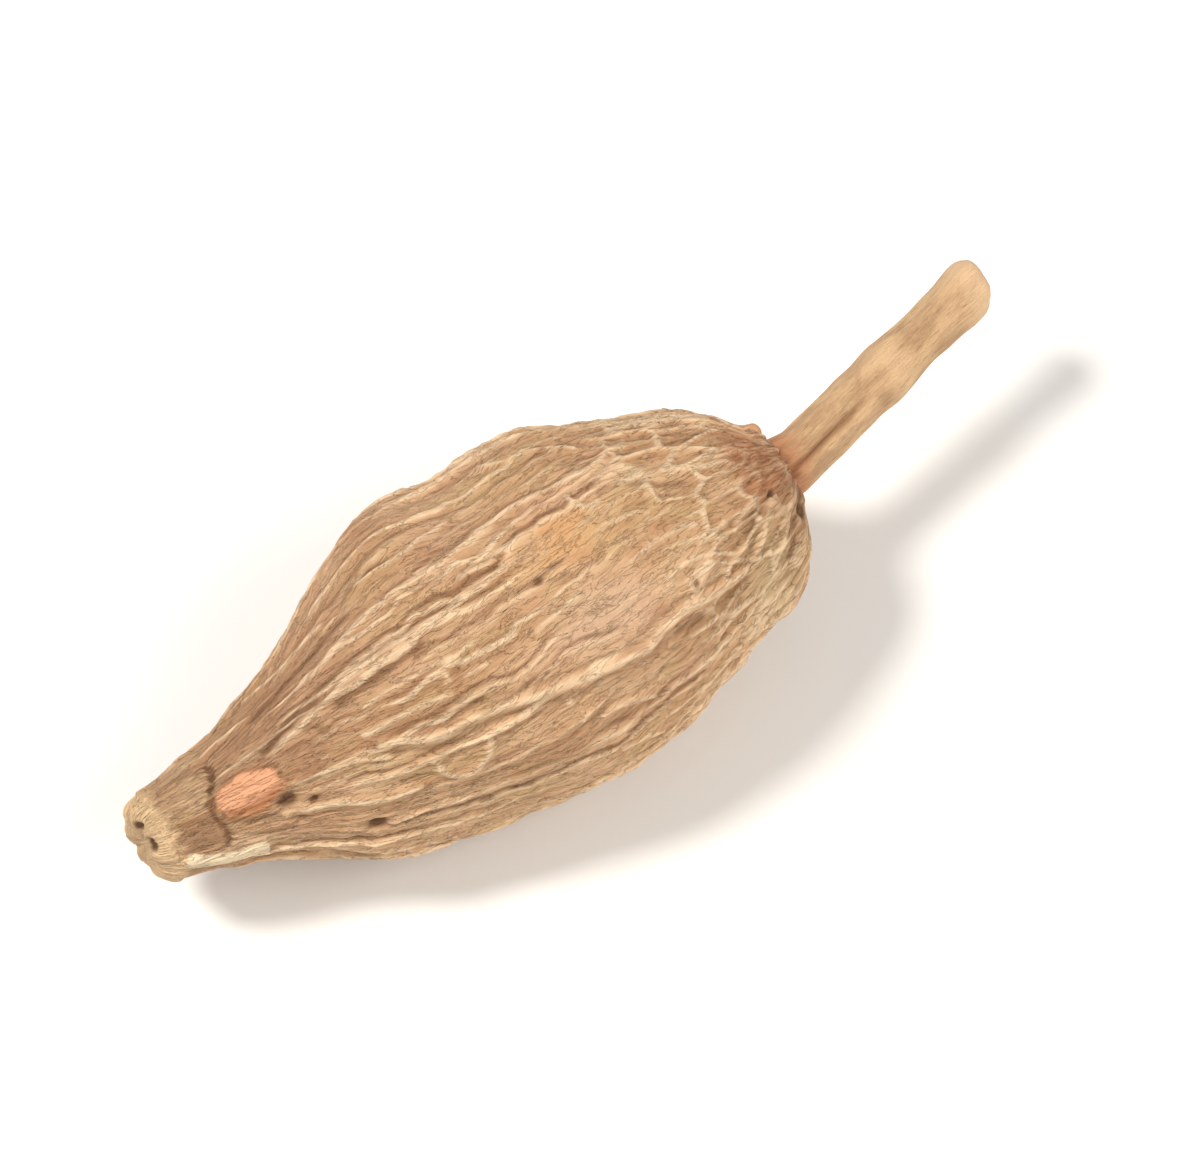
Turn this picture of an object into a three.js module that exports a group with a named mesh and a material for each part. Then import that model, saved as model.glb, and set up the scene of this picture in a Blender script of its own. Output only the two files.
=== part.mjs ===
// A dried large cardamom pod, lying on its side. Millimetres, +Z up.
// The beak, where the flower withered, points to -X and the stalk to +X. Husk and stalk grew as
// one piece, so they are one closed skin of rings, from the beak's end to the stalk's cut end.
import * as THREE from "three";
import { mergeVertices } from "three/addons/utils/BufferGeometryUtils.js";

// Driving dimensions of the husk.
const HUSK_LENGTH = 39;
const HUSK_WIDTH = 18;
const HUSK_THICKNESS = 16;
const BEAK_RADIUS = 2.15;
const FLAT_SPOT_DEPTH = 0.5; // how far the underside is pressed in where the pod rests

// Driving dimensions of the stalk. The husk's shoulder folds in a little round its foot.
const STALK_LENGTH = 15.5;
const STALK_RADIUS = 1.55;
const STALK_FOOT_FLARE = 1.14; // the foot is this much wider than the stalk
const STALK_SWING = 13.5; // degrees that the stalk turns away to +Y
const STALK_LIFT = 4; // degrees that it rises
const STALK_BEND_SHARE = 0.15; // the share of its length in which it does so
const FOLD_DEPTH = 0.4;

// The husk's middle line, in millimetres off a straight one: the beak hangs down and its end turns
// to +Y, the belly sags to -Y, and the shoulder comes back to +Y where the stalk stands.
const BEAK_DROOP = 1.6;
const BEAK_TURN = 0.95;
const BELLY_SAG = 0.45;
const SHOULDER_RETURN = 0.6;
const MIDDLE_RISE = 0.35;

// The skin's ridges run from the beak to the stalk, with a furrow on each side of a crest.
const RIDGES = 24;
const RIDGE_HEIGHT = 0.4;
const RIDGE_SHARE_OF_RADIUS = 0.13; // ridges are lower where the husk is slender
const RIDGE_HALF_WIDTH = 0.14; // of the space from one ridge to the next
const FURROW_PLACE = 0.24;
const FURROW_HALF_WIDTH = 0.12;
const FURROW_DEPTH_SHARE = 0.5;
const FLUTE_LENGTH = 2.5; // how far the ridges run up the stalk
const STALK_RIBS = 5;
const STALK_RIB_SHARE = 0.05; // of the stalk's radius
const LOBES = 3; // the husk is three chambers grown together
const LOBE_HEIGHT = 0.22;

// Waves over the skin: [size, waves along the husk, waves round it, phase]. The first list is how
// far the ridges stray, in radians; the second is how far clumps of seeds push the skin out, in mm.
const STRAY_WAVES = [
  [0.03, 1.6, 2, 0.4],
  [0.012, 4.3, -3, 2.1],
  [0.1, 0.7, 1, 4.0],
];
const SEED_WAVES = [
  [0.2, 2.2, 2, 0.9],
  [0.12, -3.1, 4, 0],
];

// Where this pod bulges or has sunk as it dried, in mm out:
// [height, share of the length, half-length as a share, degrees round it, half-width in degrees].
const BULGES = [
  [0.95, 0.475, 0.075, 26, 42],
  [-0.45, 0.29, 0.09, 26, 45],
  [0.5, 0.26, 0.055, 206, 45],
  [-0.4, 0.44, 0.08, 206, 50],
  [-0.25, 0.79, 0.05, 206, 50],
  [0.8, 0.95, 0.07, 206, 60],
  [-1.1, 0.99, 0.04, 26, 60],
  [0.35, 0.69, 0.05, 26, 40],
  [-0.3, 0.83, 0.06, 26, 45],
];

// How finely the skin is cut: columns in each ridge, rings along the husk and the stalk.
const COLUMN_PLACES = [0, 0.2, 0.5, 0.8];
const HUSK_RINGS = 44;
const STALK_RINGS = 18;

const TURN = 2 * Math.PI;
const GREATEST_RADIUS = HUSK_WIDTH / 2;
const MIDDLE_HEIGHT = HUSK_THICKNESS / 2 - FLAT_SPOT_DEPTH;

// The husk's outline from the scar at the beak's end to the fold round the stalk's foot:
// [distance from the beak's end as a share of the length, radius as a share of the greatest].
const beakShare = BEAK_RADIUS / GREATEST_RADIUS;
const stalkShare = STALK_RADIUS / GREATEST_RADIUS;
const HUSK_OUTLINE = [
  [0.014, 0],
  [0.01, beakShare * 0.55],
  [0, beakShare * 0.92],
  [0.012, beakShare * 1.18],
  [0.06, beakShare * 1.28],
  [0.14, beakShare * 1.58],
  [0.23, 0.545],
  [0.32, 0.74],
  [0.41, 0.89],
  [0.51, 0.96],
  [0.64, 1],
  [0.74, 0.945],
  [0.83, 0.81],
  [0.91, 0.635],
  [0.96, 0.49],
  [0.988, 0.34],
  [1, stalkShare * 1.5],
  [1 - FOLD_DEPTH / HUSK_LENGTH, stalkShare * STALK_FOOT_FLARE],
];

// The stalk's outline from the fold to its cut end, as shares of its own length and radius.
const STALK_OUTLINE = [
  [-FOLD_DEPTH / STALK_LENGTH, STALK_FOOT_FLARE],
  [0.03, 1.1],
  [0.12, 1.04],
  [0.28, 1.01],
  [0.44, 1.01],
  [0.52, 1.08],
  [0.6, 0.99],
  [0.76, 0.94],
  [0.89, 1.06],
  [0.955, 1.04],
  [0.99, 0.83],
  [1, 0.44],
  [0.998, 0],
];

// Places along an outline, as points whose x is the distance from the beak and y the radius.
function outlinePlaces(shares, start, length, radius, rings) {
  const points = shares.map(
    ([along, out]) => new THREE.Vector3(start + along * length, out * radius, 0),
  );
  return new THREE.CatmullRomCurve3(points, false, "centripetal").getPoints(rings);
}

// A fixed number from 0 to 1 for a ridge and a purpose, so that every build is the same.
function scatter(index, purpose) {
  const value = Math.sin(index * 12.9898 + purpose * 78.233) * 43758.5453;
  return value - Math.floor(value);
}

function smoothStep(value, low, high) {
  const share = Math.min(1, Math.max(0, (value - low) / (high - low)));
  return share * share * (3 - 2 * share);
}

function sumOfWaves(waves, along, round) {
  return waves.reduce(
    (sum, [size, lengthwise, crosswise, phase]) =>
      sum + size * Math.sin(TURN * lengthwise * along + crosswise * round + phase),
    0,
  );
}

// How far round the husk a ridge has strayed from its even place, in radians.
function stray(column, along) {
  return Math.sin(Math.PI * along) * sumOfWaves(STRAY_WAVES, along, (TURN * column) / RIDGES);
}

// One ridge's height as a share. It is low on the beak and ends on the stalk's foot, and every
// second ridge dies out before it comes to either.
function ridgeStrength(ridge, along, beyondHusk) {
  const own = 0.6 + 0.7 * scatter(ridge, 1);
  const swell = 1 + 0.4 * Math.sin(TURN * (1.7 * along + scatter(ridge, 2)));
  const beak = 0.25 + 0.75 * smoothStep(along, 0.05, 0.16);
  const foot = 1 - smoothStep(beyondHusk, 0, FLUTE_LENGTH);
  const short = smoothStep(along, 0.1, 0.3) * (1 - smoothStep(along, 0.82, 0.95));
  return own * swell * beak * foot * (ridge % 2 ? short : 1);
}

// Height of the ridges above the plain form. A crest stands at each whole number of column.
function ridgeRelief(column, along, beyondHusk, radius) {
  const nearest = Math.round(column);
  const ridge = ((nearest % RIDGES) + RIDGES) % RIDGES;
  const aside = Math.abs(column - nearest);
  const crest = Math.exp(-((aside / RIDGE_HALF_WIDTH) ** 2));
  const furrow = Math.exp(-(((aside - FURROW_PLACE) / FURROW_HALF_WIDTH) ** 2));
  const height = Math.min(RIDGE_HEIGHT, RIDGE_SHARE_OF_RADIUS * radius);
  return height * ridgeStrength(ridge, along, beyondHusk) * (crest - FURROW_DEPTH_SHARE * furrow);
}

// The three lobes and the lumps over the seeds, which fade at both ends of the husk.
function swelling(angle, along) {
  const calm = Math.sin(Math.PI * along) ** 2;
  const lobes = LOBE_HEIGHT * Math.cos(LOBES * angle + 0.5);
  return calm * (lobes + sumOfWaves(SEED_WAVES, along, angle));
}

function bulging(angle, along) {
  return BULGES.reduce((sum, [height, place, halfLength, degrees, halfWidth]) => {
    const turned = THREE.MathUtils.radToDeg(angle) - degrees;
    const aside = THREE.MathUtils.euclideanModulo(turned + 180, 360) - 180;
    return sum + height * Math.exp(-(((along - place) / halfLength) ** 2) - (aside / halfWidth) ** 2);
  }, 0);
}

// The stalk leaves the husk straight on, bends along a short arc, and then goes straight.
// This is how far it has gone sideways for each unit of the slope that it ends with.
function bentAway(beyondHusk) {
  const arc = STALK_BEND_SHARE * STALK_LENGTH;
  const turned = Math.min(1, beyondHusk / arc);
  return beyondHusk - arc * turned * (1 - turned / 2);
}

function middleLine(along, beyondHusk) {
  const fromStalk = 1 - along;
  const away = bentAway(beyondHusk);
  const aside = BEAK_TURN * fromStalk ** 6 - BELLY_SAG + SHOULDER_RETURN * along ** 3;
  const height = MIDDLE_HEIGHT + MIDDLE_RISE - BEAK_DROOP * fromStalk ** 2;
  return {
    y: aside + away * Math.tan(THREE.MathUtils.degToRad(STALK_SWING)),
    z: height + away * Math.tan(THREE.MathUtils.degToRad(STALK_LIFT)),
  };
}

// One corner of the skin. The slender ends are round, the belly is a little flattened, and the
// underside is pressed flat where it lies.
function podPoint(place, column) {
  const along = Math.min(1, place.x / HUSK_LENGTH);
  const beyondHusk = Math.max(0, place.x - HUSK_LENGTH);
  const angle = (TURN * column) / RIDGES + stray(column, along);
  const fatness = smoothStep(place.y, 0.5, 3);
  const ribs = STALK_RIB_SHARE * Math.cos(STALK_RIBS * angle) * smoothStep(beyondHusk, 0, FLUTE_LENGTH);
  const swollen = fatness * swelling(angle, along) + smoothStep(place.y, 2.2, 4.2) * bulging(angle, along);
  const skin = ridgeRelief(column, along, beyondHusk, place.y) + swollen;
  const radius = place.y > 0 ? place.y * (1 + ribs) + skin : 0;
  const flatness = 1 - (1 - HUSK_THICKNESS / HUSK_WIDTH) * fatness;
  const line = middleLine(along, beyondHusk);
  const y = line.y + radius * Math.cos(angle);
  const z = line.z + radius * flatness * Math.sin(angle);
  return new THREE.Vector3(place.x, y, Math.max(0, z));
}

// A closed skin over rings of corners. The first and the last place are on the axis, where all
// corners of a ring are one point.
function ringedSolid(places, columns, point) {
  const corners = places.flatMap((place) => columns.map((column) => point(place, column)));
  const around = columns.length;
  const lastRing = places.length - 1;
  const faces = [];
  for (let ring = 0; ring < lastRing; ring += 1) {
    for (let side = 0; side < around; side += 1) {
      const next = (side + 1) % around;
      const a = ring * around + side;
      const b = ring * around + next;
      const c = a + around;
      const d = b + around;
      if (ring > 0) faces.push(a, b, d);
      if (ring < lastRing - 1) faces.push(a, d, c);
    }
  }
  const firstOfLast = lastRing * around;
  const shared = faces.map((index) =>
    index < around ? 0 : Math.min(index, firstOfLast),
  );
  const geometry = new THREE.BufferGeometry().setFromPoints(corners).setIndex(shared);
  const merged = mergeVertices(geometry, 1e-4);
  merged.computeVertexNormals();
  return merged;
}

const ridgeNumbers = Array.from({ length: RIDGES }, (_, ridge) => ridge);
const columns = ridgeNumbers.flatMap((ridge) => COLUMN_PLACES.map((place) => ridge + place));
const huskPlaces = outlinePlaces(HUSK_OUTLINE, 0, HUSK_LENGTH, GREATEST_RADIUS, HUSK_RINGS);
const stalkPlaces = outlinePlaces(
  STALK_OUTLINE,
  HUSK_LENGTH,
  STALK_LENGTH,
  STALK_RADIUS,
  STALK_RINGS,
);

const driedSkin = new THREE.MeshStandardMaterial({ color: "#a9845c", roughness: 0.85, metalness: 0 });
const pod = new THREE.Mesh(
  ringedSolid([...huskPlaces, ...stalkPlaces.slice(1)], columns, podPoint),
  driedSkin,
);
pod.name = "pod";

// The origin is on the surface that the pod lies on, under the middle of its box.
pod.geometry.computeBoundingBox();
const middle = pod.geometry.boundingBox.getCenter(new THREE.Vector3());
pod.position.set(-middle.x, -middle.y, 0);

const spice = new THREE.Group();
spice.add(pod);

export default spice;
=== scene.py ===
# %% [markdown]
# # A dried large cardamom pod
#
# This lesson dresses a measured solid of one dried cardamom pod. The solid has the right size and
# place, so we build in its frame: +X runs along the pod from its beak to its stalk, and +Z points
# up from the surface that it lies on. Two visible pieces, husk and stalk, replace the plain solid.

# %% Open the measured frame
import math
import random

import bpy
import numpy as np
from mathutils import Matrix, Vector, noise


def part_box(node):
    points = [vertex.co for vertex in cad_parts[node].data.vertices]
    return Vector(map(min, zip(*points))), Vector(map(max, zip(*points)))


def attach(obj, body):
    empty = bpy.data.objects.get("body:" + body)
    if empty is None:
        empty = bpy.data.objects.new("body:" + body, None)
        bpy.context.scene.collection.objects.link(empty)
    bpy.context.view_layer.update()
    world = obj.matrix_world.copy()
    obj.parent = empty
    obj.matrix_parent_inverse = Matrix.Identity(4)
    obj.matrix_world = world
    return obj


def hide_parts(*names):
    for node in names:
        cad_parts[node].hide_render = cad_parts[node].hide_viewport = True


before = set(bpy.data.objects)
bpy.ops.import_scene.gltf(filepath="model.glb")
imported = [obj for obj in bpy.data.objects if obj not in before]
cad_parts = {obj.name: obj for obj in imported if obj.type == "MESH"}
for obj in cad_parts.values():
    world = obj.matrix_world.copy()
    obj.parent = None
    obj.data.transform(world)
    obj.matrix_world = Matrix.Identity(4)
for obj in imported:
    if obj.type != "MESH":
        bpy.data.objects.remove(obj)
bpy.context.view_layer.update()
low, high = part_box("pod")
MM = 0.001
print("measured pod, mm:", [round(side / MM, 2) for side in high - low])

# %% [markdown]
# ## The driving dimensions
#
# A dried pod is a drawn-out capsule, thickest a little past its middle. It narrows to a blunt beak
# where the flower withered, and folds in round the stalk at the other end. We keep the solid's few
# dimensions, in millimetres, and work everything else out from them.

# %% Driving dimensions, mm
HUSK_LENGTH = 39
HUSK_WIDTH = 18
HUSK_THICKNESS = 16
BEAK_RADIUS = 2.15
FLAT_SPOT_DEPTH = 0.5
STALK_LENGTH = 15.5
STALK_RADIUS = 1.55
STALK_FOOT_FLARE = 1.14
FOLD_DEPTH = 0.4
FOOT_SUNK = 1.1  # how deep the stalk's foot is hidden in the husk's fold
STALK_SLOPE = (math.tan(math.radians(13.5)), math.tan(math.radians(4)))  # towards +Y and +Z
STALK_BEND_SHARE = 0.15
BEAK_DROOP = 1.6
BEAK_TURN = 0.95
BELLY_SAG = 0.45
SHOULDER_RETURN = 0.6
MIDDLE_RISE = 0.35

TURN = 2 * math.pi
GREATEST_RADIUS = HUSK_WIDTH / 2
MIDDLE_HEIGHT = HUSK_THICKNESS / 2 - FLAT_SPOT_DEPTH

beak_share = BEAK_RADIUS / GREATEST_RADIUS
stalk_share = STALK_RADIUS / GREATEST_RADIUS
HUSK_OUTLINE = [  # distance from the beak as a share of the length, radius as a share of the greatest
    (0.014, beak_share * 0.12),
    (0.010, beak_share * 0.55),
    (0.000, beak_share * 0.92),
    (0.012, beak_share * 1.18),
    (0.060, beak_share * 1.28),
    (0.140, beak_share * 1.58),
    (0.230, 0.545),
    (0.320, 0.740),
    (0.410, 0.890),
    (0.510, 0.960),
    (0.640, 1.000),
    (0.740, 0.945),
    (0.830, 0.810),
    (0.910, 0.635),
    (0.960, 0.490),
    (0.988, 0.340),
    (1.000, stalk_share * 1.5),
    (1 - FOLD_DEPTH / HUSK_LENGTH, stalk_share * 1.05),
    (1 - FOOT_SUNK / HUSK_LENGTH, stalk_share * 0.9),
    (1 - FOOT_SUNK / HUSK_LENGTH, stalk_share * 0.2),
]
STALK_OUTLINE = [  # the same, as shares of the stalk's own length and radius
    (-0.75 * FOOT_SUNK / STALK_LENGTH, 0.2),
    (-0.75 * FOOT_SUNK / STALK_LENGTH, 0.95),
    (-FOLD_DEPTH / STALK_LENGTH, STALK_FOOT_FLARE),
    (0.030, 1.10),
    (0.120, 1.04),
    (0.280, 1.01),
    (0.440, 1.01),
    (0.520, 1.08),
    (0.600, 0.99),
    (0.760, 0.94),
    (0.890, 1.06),
    (0.955, 1.04),
    (0.990, 0.83),
    (1.000, 0.44),
    (0.998, 0.12),
]

# %% [markdown]
# ## A cage of rings
#
# Both pieces are round bodies whose thickness changes along their length. By hand you would add a
# circle, extrude it, move it along, scale it, and go on ring by ring. A lathe would do the same in
# one go, but rings can lie closer where the surface needs them.
#
# The Subdivision modifier rounds such a cage and pulls it in where it bulges. So each ring is first
# pushed out by a sixth of its second difference, which puts the smooth surface on our outline.

# %% Rings along an outline
RING_SPACING = 1.6  # mm between rings
HUSK_SIDES = 48
STALK_SIDES = 16
ROUNDINGS = 3  # how many times Subdivision halves every edge


def ring_places(outline, start, length, radius, spacing):
    """Even places along a smooth curve through the outline, as (distance, radius) in mm."""
    knots = [Vector((start + along * length, out * radius)) for along, out in outline]
    ends = [2 * knots[0] - knots[1], *knots, 2 * knots[-1] - knots[-2]]
    gaps = [(b - a).length ** 0.5 for a, b in zip(ends, ends[1:])]
    places = []
    for i in range(1, len(ends) - 2):
        a, b, c, d = ends[i - 1 : i + 3]
        before, here, after = gaps[i - 1 : i + 2]
        leave = (b - a) / before - (c - a) / (before + here) + (c - b) / here
        arrive = (c - b) / here - (d - b) / (here + after) + (d - c) / after
        steps = max(1, round((c - b).length / spacing))
        for step in range(steps):
            t = step / steps
            out = (1 - t) ** 3 * b + 3 * (1 - t) ** 2 * t * (b + leave * here / 3)
            places.append(out + 3 * (1 - t) * t**2 * (c - arrive * here / 3) + t**3 * c)
    places.append(knots[-1])
    pushed = [b + (2 * b - a - c) / 6 for a, b, c in zip(places, places[1:], places[2:])]
    return [(place.x, place.y) for place in (places[0], *pushed, places[-1])]


def ringed_cage(name, places, sides):
    """A closed cage made as by hand: a circle, extruded, moved and scaled ring by ring."""
    bpy.ops.object.select_all(action="DESELECT")
    distance, radius = places[0]
    bpy.ops.mesh.primitive_circle_add(
        vertices=sides, radius=radius * MM, location=(distance * MM, 0, 0), rotation=(0, math.pi / 2, 0)
    )
    piece = bpy.context.object
    piece.name = piece.data.name = name
    bpy.ops.object.transform_apply(location=True, rotation=True, scale=True)
    bpy.ops.object.mode_set(mode="EDIT")
    bpy.ops.mesh.select_all(action="SELECT")
    bpy.ops.mesh.extrude_region_move()
    bpy.ops.mesh.merge(type="CENTER")
    select_ring(piece, radius, distance)
    for next_distance, next_radius in places[1:]:
        step = ((next_distance - distance) * MM, 0, 0)
        bpy.ops.mesh.extrude_region_move(TRANSFORM_OT_translate={"value": step})
        factor = next_radius / radius
        bpy.ops.transform.resize(value=(1, factor, factor), center_override=(next_distance * MM, 0, 0))
        distance, radius = next_distance, next_radius
    bpy.ops.mesh.extrude_region_move()
    bpy.ops.mesh.merge(type="CENTER")
    bpy.ops.mesh.select_all(action="SELECT")
    bpy.ops.mesh.normals_make_consistent(inside=False)
    bpy.ops.object.mode_set(mode="OBJECT")
    print(name, "cage:", len(piece.data.vertices), "corners,", len(places), "rings")
    return piece


def select_ring(piece, radius, distance):
    """Select only the corners of one ring, found by their place."""
    bpy.ops.mesh.select_all(action="DESELECT")
    bpy.ops.object.mode_set(mode="OBJECT")
    for corner in piece.data.vertices:
        out = math.hypot(corner.co.y, corner.co.z) / MM
        corner.select = abs(out - radius) < 1e-3 and abs(corner.co.x / MM - distance) < 1e-3
    bpy.ops.object.mode_set(mode="EDIT")


def smoothed(piece, levels):
    """Round the cage with an applied Subdivision modifier."""
    bpy.context.view_layer.objects.active = piece
    rounding = piece.modifiers.new("rounding", "SUBSURF")
    rounding.levels = rounding.render_levels = levels
    bpy.ops.object.modifier_apply(modifier=rounding.name)
    print(piece.name, "smoothed:", len(piece.data.polygons), "faces")


husk_places = ring_places(HUSK_OUTLINE, 0, HUSK_LENGTH, GREATEST_RADIUS, RING_SPACING)
husk = ringed_cage("husk", husk_places, HUSK_SIDES)
smoothed(husk, ROUNDINGS)

stalk_places = ring_places(STALK_OUTLINE, HUSK_LENGTH, STALK_LENGTH, STALK_RADIUS, RING_SPACING)
stalk = ringed_cage("stalk", stalk_places, STALK_SIDES)
smoothed(stalk, ROUNDINGS)

# %% [markdown]
# ## Reading a surface in its own terms
#
# On the real pod everything follows the growth of the skin: strands run from the beak to the stalk,
# and wrinkles lie between them. So we read each corner of the mesh as a distance along the pod, a
# radius, and a column, which counts the ridges round it. A ridge is then a whole number of column.

# %% Helpers for sculpting by formula
RIDGES = 24


def wave(value):
    return np.sin(TURN * value)


def bell(aside, half_width):
    """1 on the line and nearly 0 two half-widths from it."""
    return np.exp(-((aside / half_width) ** 2))


def peak(aside, half_width):
    """1 on the line, with straight flanks like paper folded over a thread."""
    return np.exp(0.5 - np.sqrt((aside / half_width) ** 2 + 0.25))


def ramp(value, start, end):
    """0 before the start and 1 past the end, with a soft S between them."""
    share = np.clip((value - start) / (end - start), 0, 1)
    return share * share * (3 - 2 * share)


def highest(shares):
    return np.maximum.reduce(shares)


def scatter(index, purpose):
    """The fixed number from 0 to 1 that the solid's ridges use too."""
    value = np.sin(index * 12.9898 + purpose * 78.233) * 43758.5453
    return value - np.floor(value)


def per_corner(piece, name):
    """The x, y and z of every corner's place ("co") or direction ("normal")."""
    flat = np.empty(len(piece.data.vertices) * 3)
    piece.data.vertices.foreach_get(name, flat)
    return flat.reshape(-1, 3).T


def corners_of(piece):
    """Distance along the pod and radius in mm, and the angle round it from +Y towards +Z."""
    x, y, z = per_corner(piece, "co") / MM
    return x, np.hypot(y, z), np.arctan2(z, y)


def facing(piece, angle):
    """How far each corner faces along the pod and how far away from its middle, as shares."""
    x, y, z = per_corner(piece, "normal")
    return x, y * np.cos(angle) + z * np.sin(angle)


def paint(piece, numbers):
    """Keep named numbers for each corner on the mesh, for the materials to read."""
    for name, values in numbers.items():
        layer = piece.data.attributes.new(name, "FLOAT", "POINT")
        layer.data.foreach_set("value", np.asarray(values, np.float32))


def paint_flow(piece, along, column, reach):
    """Keep a place that follows the skin's growth, in mm, so that grain runs with the ridges."""
    angle = TURN * column / RIDGES
    flow = np.stack([along, reach * np.cos(angle), reach * np.sin(angle)], 1)
    layer = piece.data.attributes.new("flow", "FLOAT_VECTOR", "POINT")
    layer.data.foreach_set("vector", flow.astype(np.float32).ravel())


def far_place(seed):
    """Somewhere else in the noise for each seed, so that no two noises look alike."""
    return Vector((seed * 17.3, seed * 5.1, seed * 9.7))


def noise_at(places, seed):
    """Smooth noise from about -1 to 1 at each place."""
    shift = far_place(seed)
    return np.array([noise.noise(Vector(place) + shift) for place in places])


def creased(places, seed):
    """Noise that folds in sharp lines, as dry skin does: 1 on the folds, less between them."""
    return 1 - 2.2 * np.abs(noise_at(places, seed))


def sharp(folds):
    """Only the tops of the folds, as narrow lines from 0 to 1."""
    return np.clip((folds - 0.62) / 0.38, 0, 1) ** 1.3


def cell_borders(places, seed):
    """How far each place is from the border between two cells of a net, 0 being on it."""
    shift = far_place(seed)
    nearest = np.array([noise.voronoi(Vector(place) + shift)[0][:2] for place in places])
    return nearest[:, 1] - nearest[:, 0]


# %% [markdown]
# ## The form that all the skin follows
#
# Three things shape a dried pod before its skin wrinkles: its three chambers show as low lobes,
# clumps of seeds push lumps out, and it hangs in a slight bow with the beak turned aside. These are
# smooth waves, the same ones as in the solid, so the skin lies on it.

# %% The pod's bow, lobes and lumps
STRAY_WAVES = [(0.03, 1.6, 2, 0.4), (0.012, 4.3, -3, 2.1), (0.1, 0.7, 1, 4.0)]
SEED_WAVES = [(0.2, 2.2, 2, 0.9), (0.12, -3.1, 4, 0)]
BULGES = [  # height in mm, share of the length, half-length, degrees round the pod, half-width
    (0.95, 0.475, 0.075, 26, 42),
    (-0.45, 0.29, 0.09, 26, 45),
    (0.5, 0.26, 0.055, 206, 45),
    (-0.4, 0.44, 0.08, 206, 50),
    (-0.25, 0.79, 0.05, 206, 50),
    (0.8, 0.95, 0.07, 206, 60),
    (-1.1, 0.99, 0.04, 26, 60),
    (0.35, 0.69, 0.05, 26, 40),
    (-0.3, 0.83, 0.06, 26, 45),
]
LOBES = 3
LOBE_HEIGHT = 0.22


def turn_from(angle, degrees):
    """The angle measured from another one, the shorter way round."""
    return np.mod(angle - math.radians(degrees) + math.pi, TURN) - math.pi


def sum_of_waves(waves, along, angle):
    return sum(size * np.sin(TURN * lengthwise * along + crosswise * angle + phase)
               for size, lengthwise, crosswise, phase in waves)


def stray(angle, along):
    """How far a ridge has strayed round the husk, in radians."""
    return np.sin(math.pi * along) * sum_of_waves(STRAY_WAVES, along, angle)


def swelling(angle, along, radius):
    """How far the lobes, the seeds and this pod's own bulges push the skin out, in mm."""
    lobes = LOBE_HEIGHT * np.cos(LOBES * angle + 0.5)
    waves = np.sin(math.pi * along) ** 2 * (lobes + sum_of_waves(SEED_WAVES, along, angle))
    bulges = np.zeros_like(along)
    for height, place, half_length, degrees, half_width in BULGES:
        aside = turn_from(angle, degrees) / math.radians(half_width)
        bulges += height * bell(along - place, half_length) * bell(aside, 1)
    return ramp(radius, 0.5, 3) * waves + ramp(radius, 2.2, 4.2) * bulges


def middle_line(distance):
    """Where the pod's middle lies at a distance from the beak, in mm."""
    along = np.minimum(1, distance / HUSK_LENGTH)
    beyond = np.maximum(0, distance - HUSK_LENGTH)
    arc = STALK_BEND_SHARE * STALK_LENGTH
    turned = np.minimum(1, beyond / arc)
    away = beyond - arc * turned * (1 - turned / 2)
    y = BEAK_TURN * (1 - along) ** 6 - BELLY_SAG + SHOULDER_RETURN * along**3
    z = MIDDLE_HEIGHT + MIDDLE_RISE - BEAK_DROOP * (1 - along) ** 2
    return y + away * STALK_SLOPE[0], z + away * STALK_SLOPE[1]


def set_skin(piece, distance, radius, angle, fatness):
    """Put every corner at its final place, pressed flat where the pod lies."""
    flatness = 1 - (1 - HUSK_THICKNESS / HUSK_WIDTH) * fatness
    line_y, line_z = middle_line(distance)
    y = line_y + radius * np.cos(angle)
    z = np.maximum(0, line_z + radius * flatness * np.sin(angle))
    places = np.stack([distance, y, z], 1) * MM
    piece.data.vertices.foreach_set("co", places.ravel())
    piece.data.update()


# %% [markdown]
# ## The husk's strands
#
# As the pod dries, its skin sinks between the tough strands that run through it. They stay up as
# thin ridges, with a narrow groove beside each. Some run the whole way, some stop or begin between
# others, and short slanting ones tie neighbours together.
#
# A displacement texture gives wrinkles, but no strands that start, wander and join. So each strand
# is a line on the skin with its own height and width, and each corner takes the highest strand
# there. The random draw has a fixed seed, so every run is the same.

# %% Lines of the strands
draw = random.Random(11)
between = draw.uniform


def strand(column, start, end, height, width, lean, sway=0.0, waves=0.0):
    """One strand: where it runs, its height in mm, and its half-width in columns."""
    return dict(column=column, start=start, end=end, height=height, width=width, lean=lean,
                sway=sway, waves=waves, phase=draw.random())


def long_strands(columns, aside, starts, ends, run, heights, widths, lean, sways):
    """Long strands near the given columns. An end is drawn by itself, or from the start if run is 1."""
    made = []
    for column in columns:
        start = between(*starts)
        made.append(strand(
            column=column + between(-aside, aside), start=start, end=run * start + between(*ends),
            height=between(*heights), width=between(*widths),
            lean=between(-lean, lean), sway=between(*sways), waves=between(1.5, 4),
        ))
    return made


def tying_strands(count):
    """Short slanting strands that tie neighbours together, closest near the stalk."""
    made = []
    for _ in range(count):
        middle = 1 - 0.76 * draw.random() ** 1.3
        half = between(0.015, 0.045)
        made.append(strand(
            column=between(0, RIDGES), start=middle - half, end=middle + half,
            height=between(0.06, 0.2), width=between(0.065, 0.1),
            lean=draw.choice((-1, 1)) * between(5, 16),
        ))
    return made


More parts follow.
